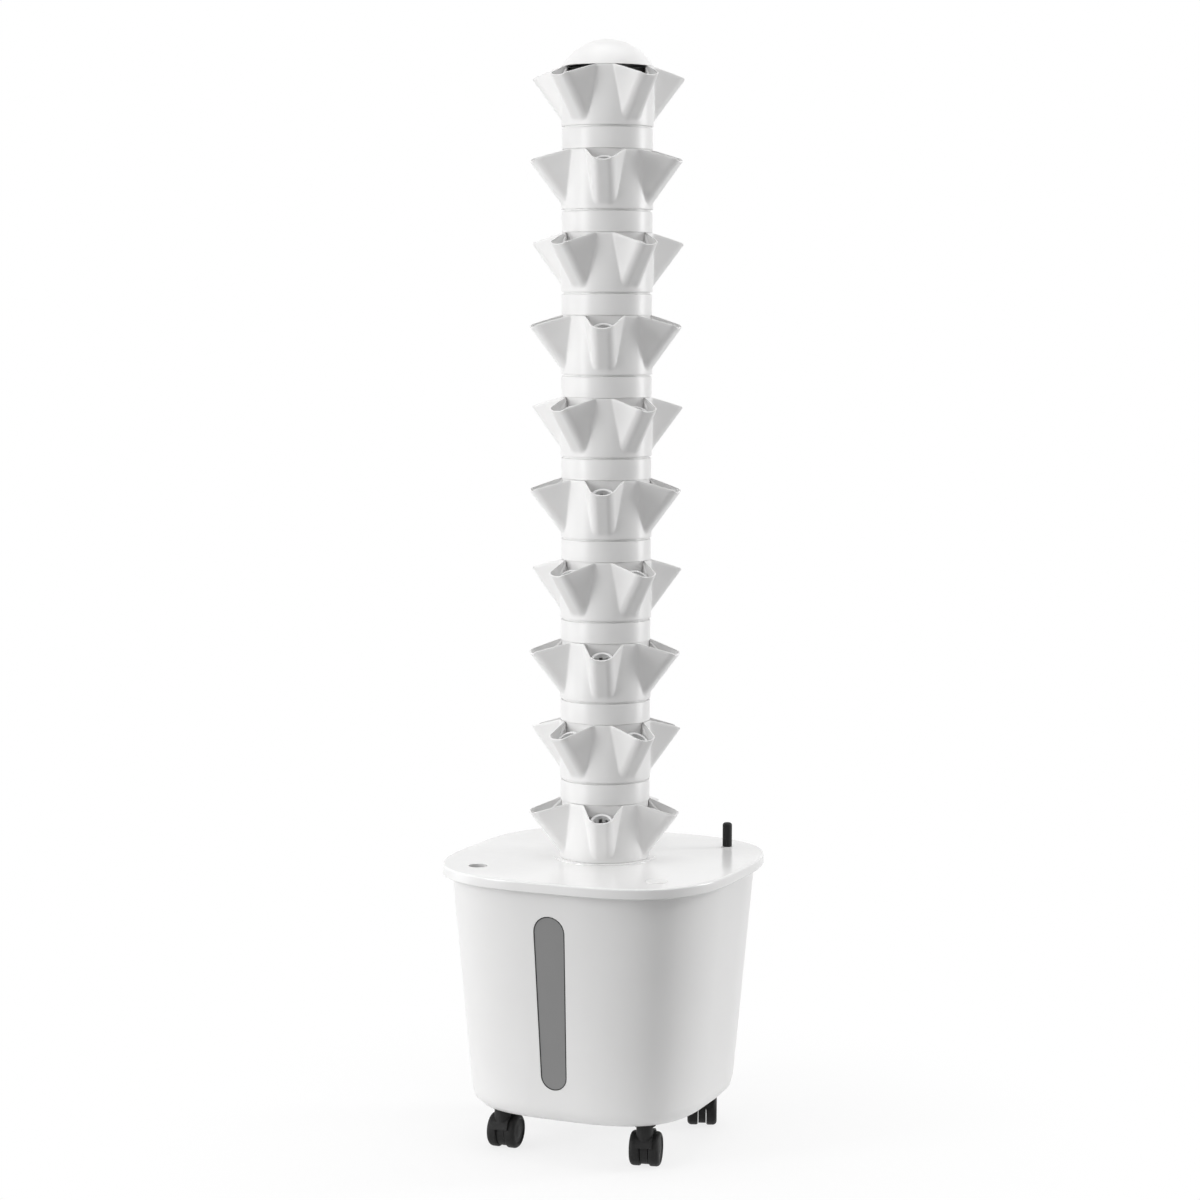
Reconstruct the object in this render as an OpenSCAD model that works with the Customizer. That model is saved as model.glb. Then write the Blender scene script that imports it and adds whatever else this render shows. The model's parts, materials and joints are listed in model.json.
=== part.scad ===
// Hydroponic planter tower: stacked pocket tiers on a wheeled water tank.
// Millimetres, Z up, origin on the floor under the tower's axis, front is -Y.

/* [Tank] */
// Width across the tank at its rim
tank_w = 407; // [396:1:414]
// Width across the tank at its base
tank_base_w = 352; // [344:1:366]
// Height of the tank, base to rim
tank_h = 353; // [330:1:380]
// Thickness of the tank's wall and floor
tank_wall = 3; // [2.5:0.1:4]
// Squareness of the tank and lid in plan (2 is round)
squareness = 3.1; // [2.9:0.1:3.6]
// Radius of the rounding at the tank's base
base_round = 24; // [16:1:28]
// Thickness of the rim flange
flange_t = 5; // [3:0.5:8]

/* [Window] */
// Height of the window's lower end above the tank's base
window_low = 50; // [42:1:58]
// Height of the window, end to end
window_h = 256; // [200:1:262]
// Width of the window at its upper end
window_top_w = 48; // [40:1:52]
// Width of the window at its lower end
window_low_w = 40; // [32:1:44]
// Depth of the window's face behind the tank's face
window_recess = 0.4; // [0.2:0.1:1]
// Clearance between the window and its slot
window_fit = 0.2; // [0.1:0.05:0.4]
// Width of the flange behind the slot's edge
window_lap = 7; // [5:0.5:9]
// Thickness of the window's flange
window_t = 2.5; // [2:0.1:3.5]
// Thickness of the window's gasket
gasket_t = 1.5; // [1:0.1:2.5]

/* [Lid] */
// Width across the lid
lid_w = 431; // [428:1:440]
// Depth of the lid's edge
lid_edge = 15; // [12:1:20]
// Thickness of the lid's plate
lid_t = 3; // [2.5:0.1:4]
// Thickness of the lid's edge wall
lid_wall = 3; // [2.5:0.1:4]
// Radius of the rounding along the lid's top edge
lid_round = 6; // [4:0.5:7]
// Clearance between the lid's edge and the rim flange
lid_fit = 1; // [0.5:0.1:2]
// Rise of the tower's seat above the lid
seat_h = 2; // [1:0.5:4]
// Width of the tower's seat around the lowest tier
seat_w = 8; // [5:0.5:12]
// Diameter of the cable port and of the plugged port
port_d = 27; // [22:0.5:30]
// Depth of the ports' collars below the lid's top
port_depth = 14; // [10:1:18]
// Thickness of the ports' collars
port_wall = 2.5; // [2:0.1:3.5]
// Clearance of the plug in its port
plug_fit = 0.3; // [0.2:0.05:0.5]
// Overlap of the plug's head around its port
plug_lap = 2; // [1:0.5:4]
// Thickness of the plug's head
plug_t = 1.6; // [1.2:0.1:3]

/* [Gauge] */
// Diameter of the gauge rod
rod_d = 5; // [4:0.5:6]
// Clearance of the rod in its guide bush
rod_fit = 0.4; // [0.3:0.05:0.6]
// Diameter of the gauge cap
gauge_cap_d = 14; // [12:0.5:17]
// Height of the gauge cap
gauge_cap_h = 36; // [28:1:42]
// Thickness of the guide bush's flange
bush_t = 1.5; // [1:0.1:3]
// Diameter of the float
float_d = 28; // [22:1:32]
// Height of the float
float_h = 34; // [26:1:40]
// Travel of the float
float_travel = 105; // [80:1:110]
// Clearance of the float in the tank's corner
float_gap = 2.2; // [1:0.1:6]

/* [Tiers] */
// Rise from one tier to the next
tier_pitch = 117; // [112:1:122]
// Height of the pocket ring above the ledge
ring_h = 84; // [80:1:88]
// Outside diameter of the pocket ring
ring_d = 131.6; // [128:0.2:135]
// Overhang of the ring's ledge over the barrel below it
ledge_w = 1; // [0.8:0.1:2]
// Height of the groove under the ledge
groove_h = 2.5; // [1.5:0.1:4]
// Depth of the groove under the ledge
groove_depth = 1.8; // [1:0.1:2.4]
// Thickness of the moulded walls
tier_wall = 2.4; // [2:0.1:3]
// Clearance of a spigot in the ring below it
tier_fit = 0.4; // [0.3:0.05:0.6]
// Depth of a spigot in the ring below it
tier_lap = 18; // [14:1:22]
// Gap between a barrel's shoulder and the ring below it
shoulder_gap = 0.4; // [0.2:0.1:1]
// Turn of the lowest tier's front pocket towards +X
tower_turn = 20; // [0:1:71]
// Thickness of each tier's tray
tray_t = 3; // [2:0.1:4]
// Diameter of the riser hole in each tier's tray
tray_hole_d = 26; // [24.5:0.5:30]
// Height of the collar around the riser hole
tray_collar_h = 6; // [3:0.5:10]
// Diameter of the drip holes in each tier's tray
drip_d = 10; // [6:0.5:14]

/* [Pockets] */
// Radius of the pocket tips
tip_r = 113.5; // [109:0.5:118]
// Drop of the lip from the ring's top to the tip
lip_drop = 15; // [12:1:18]
// Height of a pocket's lower end above the ledge
pocket_rise = 7; // [5:0.5:9]
// Radius of the nose's corners
nose_r = 7; // [6:0.5:9]
// Width of the flat in the middle of the nose
nose_flat = 18; // [16:0.5:20]
// Spread of each flank towards the ring, in degrees
flank_spread = 16; // [14:0.5:18]
// Thickness of the lip above the cup's seat
lip_t = 1.6; // [1.2:0.1:2]
// Thickness of the pocket below the cup's seat
pocket_t = 3; // [2.6:0.1:3.6]

/* [Net cups] */
// Depth of a cup's rim below the mouth of its pocket
cup_drop = 6; // [4:0.5:8]
// Depth of a net cup
cup_h = 44; // [36:1:48]
// Thickness of a cup's wall
cup_t = 1.4; // [1.2:0.1:2]
// Width of a cup's rim
cup_rim_w = 2.2; // [1.8:0.1:3]
// Thickness of a cup's rim
cup_rim_t = 1.6; // [1.2:0.1:2.4]
// Clearance of a cup in its pocket
cup_fit = 0.3; // [0.2:0.05:0.6]
// Diameter of a cup's floor
cup_floor_d = 22; // [18:0.5:25]
// Diameter of the drain in a cup's floor
cup_drain_d = 10; // [6:0.5:14]

/* [Dome] */
// Gap between the dome and the top ring
dome_gap = 0.2; // [0.1:0.05:0.6]
// Height of the dome above the top ring
dome_h = 39; // [34:1:44]
// Thickness of the dome's shell
dome_t = 2.4; // [2:0.1:3]
// Length of the dome's tabs in the top ring
tab_h = 14; // [10:1:15]
// Width of the gaps between the dome's tabs
tab_gap = 56; // [50:1:60]

/* [Water path] */
// Outside diameter of the riser
riser_d = 20; // [18:0.5:21]
// Thickness of the riser's wall
riser_t = 2; // [1.5:0.1:2.5]
// Length of the coupling between the riser's two pipes
coupling_h = 30; // [20:1:40]
// Thickness of the coupling's wall
coupling_t = 1.6; // [1.2:0.1:2]
// Height of the distributor's rim
dish_h = 15; // [8:0.5:16]
// Thickness of the distributor's wall
dish_t = 2.2; // [1.8:0.1:3]
// Depth of the distributor's socket on the riser
dish_socket_h = 16; // [10:1:24]
// Length of the pump's body
pump_l = 64; // [58:1:72]
// Width of the pump's body
pump_w = 50; // [48:1:60]
// Height of the pump's body
pump_h = 54; // [52:1:64]
// Height of the pump's suction feet
pump_foot_h = 9; // [7:0.5:12]
// Length of the pump's outlet
outlet_h = 18; // [12:1:24]
// Diameter of the impeller
impeller_d = 30; // [26:1:32]
// Diameter of the rotor
rotor_d = 20; // [16:1:22]

/* [Castors] */
// Height from the top of the wheels to the tank
castor_head = 16; // [15:0.5:22]
// Diameter of a wheel
wheel_d = 50; // [46:1:54]
// Width of one wheel
wheel_w = 16; // [14:0.5:20]
// Distance of the swivels from the tank's sides at its base
castor_inset = 64; // [58:1:72]
// Distance of the axle behind the swivel
castor_trail = 12; // [8:0.5:15]
// Width of the housing between the wheels
web_w = 11; // [10.5:0.5:14]
// Gap between the housing and each wheel
web_gap = 0.5; // [0.4:0.1:1]
// Gap between the wheels and the hood over them
hood_gap = 1.4; // [1:0.1:2]
// Thickness of the hood
hood_t = 2.4; // [2:0.1:3]
// Width of the hood over the wheels
hood_w = 24; // [24:1:30]
// Diameter of the axle
axle_d = 6; // [5:0.5:8]
// Diameter of the swivel pin
pin_d = 10; // [8:0.5:10]
// Diameter of the stem
stem_d = 11; // [10:0.5:12]
// Length of the stem in the tank
stem_h = 21; // [15:1:26]
// Diameter of the stem's plate
plate_d = 32; // [28:1:36]
// Thickness of the stem's plate
plate_t = 4; // [3:0.5:5]

/* [Hidden] */
$fn = 64;
tiers = 10;
pockets = 5;
plan_points = 72;
// Angle from the middle of each side, in the plan's own terms, over which the side is flat
flat_turn = 5;

// Running clearance of shafts and pins in their bores
run_fit = 0.05;
// Distance that a cut runs past the face it breaks
past = 1;

wheel_r = wheel_d / 2;
castor_h = wheel_d + castor_head;
tank_half = tank_w / 2;
base_half = tank_base_w / 2;
rim_z = castor_h + tank_h;
side_z = castor_h + base_round;
floor_z = castor_h + tank_wall;
lid_half = lid_w / 2;
lid_top = rim_z + lid_t;
lid_low = lid_top - lid_edge;
flange_half = lid_half - lid_wall - lid_fit;
seat_z = lid_top + seat_h;
draft = atan((tank_half - base_half) / (rim_z - side_z));
face_part = pow(cos(flat_turn), 2 / squareness);
face_lean = atan(face_part * tan(draft));
wall_across = face_part * tank_wall * cos(face_lean);
window_z = castor_h + window_low + window_h / 2;
window_back = wall_across + gasket_t;

ring_r = ring_d / 2;
ring_in = ring_r - tier_wall;
barrel_r = ring_r - ledge_w;
barrel_h = tier_pitch - ring_h - shoulder_gap;
spigot_r = ring_in - tier_fit;
spigot_in = spigot_r - tier_wall;
skirt_h = tier_pitch - ring_h + tier_lap;
stop_z = ring_h - tier_lap;
top_z = seat_z + (tiers - 1) * tier_pitch;
ring_top_z = top_z + ring_h;
tray_hole_r = tray_hole_d / 2;

tip_z = ring_h - lip_drop;
nose_lean = atan((tip_r - ring_r) / (tip_z - pocket_rise));
lip_lean = atan(lip_drop / (tip_r - ring_r));
nose_u = ring_r * cos(nose_lean);
corner_u = nose_u - nose_r;
pocket_step = 360 / pockets;
sill_z = tray_t + past;
// Offset that keeps a pocket's faces off the ring's own faces
pocket_foot = 0.4;
// Lengths that pass right through a pocket, along it and across it
pocket_far = 1.6 * tip_r;
pocket_side = 0.55 * tip_r;

cup_seat = ring_r * sin(nose_lean) + (ring_h - pocket_rise) * cos(nose_lean) - cup_drop;
// Radius of the circle that touches the pocket's front and both flanks, less the clearance
cup_rim_r = nose_r + nose_flat / 2 * cos(flank_spread) / (1 - sin(flank_spread)) - lip_t - cup_fit;
cup_body_r = cup_rim_r - cup_rim_w;
cup_u = nose_u - lip_t - cup_fit - cup_rim_r;

rod_r = rod_d / 2;
gauge_cap_r = gauge_cap_d / 2;
bush_wall = 2;
bush_r = gauge_cap_r + bush_wall;
bush_top = lid_top + bush_t;
// Depth of the rod's end below the top of its cap
rod_cover = 8;
float_top = rim_z - port_depth - past - float_travel;
float_low = float_top - float_h;

riser_r = riser_d / 2;
coupling_r = riser_r + coupling_t;
pump_z = floor_z + pump_foot_h;
shaft_z = pump_z + pump_h / 2;
pump_top = pump_z + pump_h;
// Distance of the pump's front from the outlet's axis
pump_front = 12;
outlet_r = riser_r - riser_t;
adapter_gap = 2;
adapter_z = pump_top + adapter_gap;
riser_z = adapter_z + outlet_h;
// Distance of the riser's end below the distributor's floor
riser_short = 3;
riser_end = top_z + stop_z - riser_short;
riser_joint = (riser_z + riser_end) / 2;
chamber_r = impeller_d / 2 + 1;
rotor_l = 36;
rotor_back = -41;

castor_r = base_half - castor_inset;
axle_r = axle_d / 2;
pin_r = pin_d / 2;
stem_r = stem_d / 2;
hood_in = wheel_r + hood_gap;
// Heights of the swivel pin's end and of the housing's top
pin_low = castor_h - plate_t - 8;
neck_top = castor_h - plate_t - 0.5;

CORNERS = ["fl", "fr", "br", "bl"];
CORNER_AT = [[-1, -1], [1, -1], [1, 1], [-1, 1]];
HEADING = [93, 103, 111, 98];
CASTOR_PIECES = ["stem", "housing", "axle", "wheel_a", "wheel_b"];
TIER_NAMES = [for (k = [1:tiers]) str("tier_", k)];
CUP_NAMES = [for (k = [1:tiers]) str("net_cups_", k)];
CASTOR_NAMES = [for (c = CORNERS) for (p = CASTOR_PIECES) str("castor_", c, "_", p)];
TANK_NAMES = ["tank", "level_window", "window_gasket", "lid", "port_plug"];
GAUGE_NAMES = ["gauge_bush", "gauge_rod", "gauge_cap", "gauge_float"];
PUMP_NAMES = ["pump_body", "pump_cover", "pump_rotor", "pump_feet", "outlet_adapter"];
RISER_NAMES = ["riser_lower", "riser_coupling", "riser_upper", "distributor", "dome_cap"];

// The node to draw, or all of them

// A point of the rounded-square plan, by its number around the outline
function plan_point(half, i) =
    let (q = plan_points / 4, part = (90 - 2 * flat_turn) * (i % q) / (q - 1))
    let (a = 90 * floor(i / q) + flat_turn + part, c = cos(a), s = sin(a), e = 2 / squareness)
    [half * sign(c) * pow(abs(c), e), half * sign(s) * pow(abs(s), e)];

// Half the tank's width at a height
function tank_half_at(z) = base_half + (z - side_z) * tan(draft);

// Levels of a quarter round, from a flat underside out to the side
function low_round(z, half, r) =
    [for (a = [0:30:90]) [z + r * (1 - cos(a)), half - r * (1 - sin(a))]];

// Levels of a quarter round, from the side in to a flat top
function top_round(z, half, r) =
    [for (a = [0:30:90]) [z - r * (1 - sin(a)), half - r * (1 - cos(a))]];

// The window's outline, grown by an amount
function slot_end(r, turn, middle) =
    [for (i = [0:12]) let (a = turn + 15 * i) [r * cos(a), r * sin(a) + middle]];
function slot_outline(grow) =
    let (upper = window_top_w / 2, lower = window_low_w / 2, half = window_h / 2)
    concat(slot_end(upper + grow, 0, half - upper), slot_end(lower + grow, 180, lower - half));

// Distance of the lid's ports from both centre lines, which keeps the float off the tank's corner
port_offset = (tank_half_at(float_low) - tank_wall) * pow(0.5, 1 / squareness)
    - (float_d / 2 + float_gap) * cos(45);

// A stack of rounded-square outlines skinned into one solid: levels are [height, half width]
module plan_stack(levels) {
    n = len(levels);
    m = plan_points;
    points = [for (l = levels) for (i = [0:m - 1]) let (p = plan_point(l[1], i)) [p[0], p[1], l[0]]];
    sides = [for (j = [0:n - 2]) for (i = [0:m - 1]) let (k = (i + 1) % m)
        [j * m + i, (j + 1) * m + i, (j + 1) * m + k, j * m + k]];
    under = [for (i = [0:m - 1]) i];
    upper = [for (i = [m - 1:-1:0]) (n - 1) * m + i];
    polyhedron(points, concat([under], sides, [upper]));
}

// A tube standing on Z
module tube(r, bore, h) {
    difference() {
        cylinder(r = r, h = h);
        translate([0, 0, -past])
            cylinder(r = bore, h = h + 2 * past);
    }
}

// Places children on the tank's sloping front face: X across, Y inwards, Z up the face
module on_front() {
    translate([0, -face_part * tank_half_at(window_z), window_z])
        rotate([face_lean, 0, 0])
            children();
}

// A plate with the window's outline, from one depth behind the front face to another
module slot_plate(grow, from, to) {
    translate([0, to, 0])
        rotate([90, 0, 0])
            linear_extrude(to - from)
                polygon(slot_outline(grow));
}

module at_castors() {
    for (c = CORNER_AT)
        translate([c[0] * castor_r, c[1] * castor_r, 0])
            children();
}

module tank() {
    boss_wall = 5;
    socket_h = stem_h + 4;
    cut = 20;
    color("#f2f2f0")
        difference() {
            union() {
                difference() {
                    union() {
                        plan_stack(concat(low_round(castor_h, base_half, base_round), [[rim_z, tank_half]]));
                        plan_stack([[rim_z - flange_t, flange_half], [rim_z, flange_half]]);
                    }
                    plan_stack(concat(
                        low_round(floor_z, base_half - tank_wall, base_round - tank_wall),
                        [[rim_z + past, tank_half_at(rim_z + past) - tank_wall]]
                    ));
                }
                at_castors()
                    translate([0, 0, floor_z - past])
                        cylinder(r = stem_r + boss_wall, h = socket_h + past);
            }
            on_front()
                slot_plate(0, -cut, cut);
            at_castors()
                translate([0, 0, castor_h - past])
                    cylinder(r = stem_r + run_fit, h = socket_h + past);
        }
}

module level_window() {
    color("#808284")
        on_front() {
            slot_plate(-window_fit, window_recess, window_back + window_t / 2);
            slot_plate(window_lap, window_back, window_back + window_t);
        }
}

module window_gasket() {
    color("#303030")
        on_front()
            difference() {
                slot_plate(window_lap, wall_across, window_back);
                slot_plate(0, wall_across - past, window_back + past);
            }
}

// Places children at a lid port: the numbers give the side of each centre line
module at_port(x, y) {
    translate([x * port_offset, y * port_offset, 0])
        children();
}

// Places children at the cable port and at the plugged port
module at_front_ports() {
    at_port(-1, -1)
        children();
    at_port(1, -1)
        children();
}

module lid() {
    edge_chamfer = 1;
    socket_in = barrel_r + tier_fit;
    shoulder_z = seat_z - barrel_h;
    socket_low = shoulder_z - tier_wall;
    collar_low = lid_top - port_depth;
    color("#f4f4f2")
        difference() {
            union() {
                difference() {
                    plan_stack(concat(
                        [[lid_low, lid_half - edge_chamfer], [lid_low + edge_chamfer, lid_half]],
                        top_round(lid_top, lid_half, lid_round)
                    ));
                    plan_stack([[lid_low - past, lid_half - lid_wall], [rim_z, lid_half - lid_wall]]);
                }
                translate([0, 0, socket_low])
                    cylinder(r = socket_in + tier_wall, h = lid_top - past - socket_low);
                translate([0, 0, lid_top - past])
                    cylinder(r = ring_r + seat_w, h = seat_h + past);
                at_front_ports()
                    translate([0, 0, collar_low])
                        cylinder(r = port_d / 2 + port_wall, h = port_depth - past);
                at_port(1, 1)
                    translate([0, 0, collar_low])
                        cylinder(r = bush_r, h = port_depth - past);
            }
            translate([0, 0, shoulder_z])
                cylinder(r = socket_in, h = barrel_h + past);
            translate([0, 0, socket_low - past])
                cylinder(r = ring_in, h = tier_wall + 2 * past);
            at_front_ports()
                translate([0, 0, collar_low - past])
                    cylinder(d = port_d, h = port_depth + 2 * past);
            at_port(1, 1)
                translate([0, 0, collar_low - past])
                    cylinder(r = gauge_cap_r, h = port_depth + 2 * past);
        }
}

module port_plug() {
    plug_r = port_d / 2 - plug_fit;
    head_r = port_d / 2 + plug_lap;
    wall = 2;
    low = lid_top - port_depth + wall;
    lead = 3;
    chamfer = 0.6;
    bevel = 4;
    color("#efefec")
        at_port(1, -1)
            rotate_extrude()
                polygon([
                    [0, lid_top - wall / 2],
                    [plug_r - wall, lid_top - wall / 2],
                    [plug_r - wall, low],
                    [plug_r - chamfer, low],
                    [plug_r, low + lead],
                    [plug_r, lid_top],
                    [head_r, lid_top],
                    [head_r - chamfer, lid_top + plug_t - chamfer],
                    [head_r - bevel, lid_top + plug_t],
                    [0, lid_top + plug_t],
                ]);
}

module gauge_bush() {
    color("#e6e6e2")
        at_port(1, 1)
            difference() {
                union() {
                    translate([0, 0, lid_top])
                        cylinder(r = bush_r, h = bush_t);
                    translate([0, 0, lid_top - port_depth])
                        cylinder(r = gauge_cap_r - run_fit, h = port_depth + bush_t);
                }
                translate([0, 0, lid_top - port_depth - past])
                    cylinder(r = rod_r + rod_fit, h = port_depth + bush_t + 2 * past);
            }
}

module gauge_rod() {
    color("#d9d9d5")
        at_port(1, 1)
            translate([0, 0, float_low])
                cylinder(r = rod_r, h = bush_top + gauge_cap_h - rod_cover - float_low);
}

module gauge_cap() {
    neck_h = 4;
    neck_wall = 1.4;
    low_r = 3;
    top_r = 5;
    color("#1b1b1c")
        at_port(1, 1)
            translate([0, 0, bush_top])
                difference() {
                    rotate_extrude()
                        polygon(concat(
                            [[0, 0], [rod_r + neck_wall, 0], [rod_r + neck_wall, neck_h]],
                            [for (a = [-60:15:0]) [
                                gauge_cap_r - low_r + low_r * cos(a),
                                neck_h + low_r + low_r * sin(a)
                            ]],
                            [for (a = [0:15:90]) [
                                gauge_cap_r - top_r + top_r * cos(a),
                                gauge_cap_h - top_r + top_r * sin(a)
                            ]],
                            [[0, gauge_cap_h]]
                        ));
                    translate([0, 0, -past])
                        cylinder(r = rod_r, h = gauge_cap_h - rod_cover + past);
                }
}

module gauge_float() {
    r = float_d / 2;
    chamfer = 3;
    color("#dcd8cc")
        at_port(1, 1)
            translate([0, 0, float_low])
                rotate_extrude()
                    polygon([
                        [rod_r, 0],
                        [r - chamfer, 0],
                        [r, chamfer],
                        [r, float_h - chamfer],
                        [r - chamfer, float_h],
                        [rod_r, float_h],
                    ]);
}

// The pocket's plan across its leaning axis: U outwards, V around the ring
module nose_plan(inset) {
    r = nose_r - inset;
    half = nose_flat / 2;
    last = 4;
    turn = (90 - flank_spread) / last;
    corner = [for (i = [0:last]) [corner_u + r * cos(turn * i), half + r * sin(turn * i)]];
    back_u = -0.44 * tip_r;
    back_v = corner[last][1] + (corner[last][0] - back_u) * tan(flank_spread);
    polygon(concat(
        corner,
        [[back_u, back_v], [back_u, -back_v]],
        [for (i = [last:-1:0]) [corner[i][0], -corner[i][1]]]
    ));
}

// Places children on a pocket: Z along its leaning axis
module along_pocket() {
    translate([0, 0, pocket_rise])
        rotate([0, nose_lean, 0])
            children();
}

module nose_prism(inset, from, to) {
    along_pocket()
        translate([0, 0, from])
            linear_extrude(to - from)
                nose_plan(inset);
}

// The part of a pocket's inside, or of its window in the ring, above a sill
module above_sill(sill) {
    inner_x = 0.85 * ring_in;
    intersection() {
        children();
        translate([inner_x, -pocket_side, sill])
            cube([pocket_far, 2 * pocket_side, 1.25 * ring_h]);
    }
}

module pocket_outside() {
    difference() {
        intersection() {
            nose_prism(0, 0, pocket_far);
            translate([0.3 * ring_in, -pocket_side, pocket_foot])
                cube([pocket_far, 2 * pocket_side, ring_h - 2 * pocket_foot]);
        }
        translate([ring_r - pocket_foot, 0, ring_h])
            rotate([0, lip_lean, 0])
                translate([-pocket_far / 2, -pocket_far / 2, 0])
                    cube([1.5 * pocket_far, pocket_far, pocket_far]);
    }
}

module pocket_inside() {
    above_sill(sill_z) {
        nose_prism(pocket_t, -0.2 * ring_h, pocket_far);
        nose_prism(lip_t, cup_seat, 1.1 * pocket_far);
    }
}

module pocket() {
    difference() {
        pocket_outside();
        pocket_inside();
        translate([0, 0, -past])
            cylinder(r = ring_in + pocket_foot, h = ring_h + 2 * past);
    }
}

module tier_shell() {
    groove_r = barrel_r - groove_depth;
    collar_r = tray_hole_r + 2;
    drip_at = (tray_hole_r + spigot_in) / 2;
    difference() {
        rotate_extrude()
            polygon([
                [tray_hole_r, 0],
                [spigot_in, 0],
                [spigot_in, -skirt_h],
                [spigot_r, -skirt_h],
                [spigot_r, -barrel_h],
                [barrel_r, -barrel_h],
                [barrel_r, -groove_h - groove_depth],
                [groove_r, -groove_h],
                [groove_r, 0],
                [ring_r, 0],
                [ring_r, ring_h],
                [ring_in, ring_h],
                [ring_in, tray_t],
                [collar_r, tray_t],
                [collar_r, tray_t + tray_collar_h],
                [tray_hole_r, tray_t + tray_collar_h],
            ]);
        for (i = [0:pockets - 1])
            rotate([0, 0, pocket_step * (i + 0.5)])
                translate([drip_at, 0, -past])
                    cylinder(d = drip_d, h = tray_t + 2 * past);
    }
}

// Lugs inside the ring that carry the spigot above
module stop_lugs() {
    lug_d = 5;
    lug_w = 10;
    lug_h = 22;
    for (i = [0:pockets - 1])
        rotate([0, 0, pocket_step * (i + 0.5)])
            translate([ring_in - lug_d, -lug_w / 2, stop_z - lug_h])
                cube([lug_d + past, lug_w, lug_h]);
}

// The ring with its first n pocket windows, one cut after another
module windowed(n) {
    if (n == 0)
        tier_shell();
    else
        difference() {
            windowed(n - 1);
            rotate([0, 0, pocket_step * (n - 1)])
                above_sill(sill_z - pocket_foot)
                    nose_prism(lip_t / 2, -0.2 * ring_h, pocket_far);
        }
}

module tier_body() {
    windowed(pockets);
    for (i = [0:pockets - 1])
        rotate([0, 0, pocket_step * i])
            pocket();
    stop_lugs();
}

// Turns children with tier k's pockets, so that the first one lies along +X before
module turned(k) {
    rotate([0, 0, tower_turn - 90 + (k % 2 == 0 ? pocket_step / 2 : 0)])
        children();
}

// Places children on tier k, counted from the lid
module on_tier(k) {
    translate([0, 0, seat_z + (k - 1) * tier_pitch])
        turned(k)
            children();
}

module tier(k) {
    color("#f3f3f1")
        on_tier(k)
            tier_body();
}

module net_cup() {
    wall_low = cup_floor_d / 2;
    drain_r = cup_drain_d / 2;
    rotate_extrude()
        polygon([
            [drain_r, -cup_h],
            [wall_low, -cup_h],
            [cup_body_r, 0],
            [cup_rim_r, 0],
            [cup_rim_r, cup_rim_t],
            [cup_body_r - cup_t, cup_rim_t],
            [wall_low - cup_t, cup_t - cup_h],
            [drain_r, cup_t - cup_h],
        ]);
}

module net_cups(k) {
    color("#fafaf8")
        on_tier(k)
            for (i = [0:pockets - 1])
                rotate([0, 0, pocket_step * i])
                    along_pocket()
                        translate([cup_u, 0, cup_seat])
                            net_cup();
}

module dome_cap() {
    ball_r = (ring_r * ring_r + dome_h * dome_h) / (2 * dome_h);
    wide = 4 * ring_r;
    color("#f6f6f4")
        translate([0, 0, ring_top_z + dome_gap]) {
            difference() {
                translate([0, 0, dome_h - ball_r])
                    sphere(r = ball_r);
                translate([0, 0, dome_h - ball_r])
                    sphere(r = ball_r - dome_t);
                translate([-wide / 2, -wide / 2, -wide])
                    cube(wide);
            }
            difference() {
                translate([0, 0, -tab_h])
                    tube(spigot_r, spigot_in, tab_h + dome_t);
                turned(tiers)
                    for (i = [0:pockets - 1])
                        rotate([0, 0, pocket_step * i])
                            translate([0, -tab_gap / 2, -tab_h - past])
                                cube([ring_r, tab_gap, tab_h + past]);
            }
        }
}

module distributor() {
    dish_r = spigot_in - tier_fit;
    socket_r = riser_r + tier_fit;
    socket_out = socket_r + dish_t;
    holes = 2 * pockets;
    hole_r = 2.5;
    color("#26272a")
        translate([0, 0, top_z + stop_z])
            difference() {
                rotate_extrude()
                    polygon([
                        [socket_r, -dish_socket_h],
                        [socket_out, -dish_socket_h],
                        [socket_out, 0],
                        [dish_r, 0],
                        [dish_r, dish_h],
                        [dish_r - dish_t, dish_h],
                        [dish_r - dish_t, dish_t],
                        [socket_r, dish_t],
                    ]);
                for (i = [0:holes - 1])
                    rotate([0, 0, 360 / holes * i])
                        translate([(dish_r + socket_out) / 2, 0, -past])
                            cylinder(r = hole_r, h = dish_t + 2 * past);
            }
}

module riser_tube(from, to) {
    color("#ececea")
        translate([0, 0, from])
            tube(riser_r, riser_r - riser_t, to - from);
}

module riser_lower() {
    riser_tube(riser_z, riser_joint);
}

module riser_upper() {
    riser_tube(riser_joint, riser_end);
}

module riser_coupling() {
    color("#d4d4d0")
        translate([0, 0, riser_joint - coupling_h / 2])
            tube(coupling_r, riser_r + run_fit, coupling_h);
}

module outlet_adapter() {
    adapter_h = outlet_h + 16;
    adapter_r = riser_r + 3;
    color("#2a2b2d")
        translate([0, 0, adapter_z])
            rotate_extrude()
                polygon([
                    [outlet_r + run_fit, 0],
                    [adapter_r, 0],
                    [adapter_r, adapter_h],
                    [riser_r + run_fit, adapter_h],
                    [riser_r + run_fit, outlet_h],
                    [outlet_r + run_fit, outlet_h],
                ]);
}

// Places children on the pump shaft: Z runs out of the pump's front, towards +X
module on_shaft() {
    translate([0, 0, shaft_z])
        rotate([0, 90, 0])
            children();
}

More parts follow.
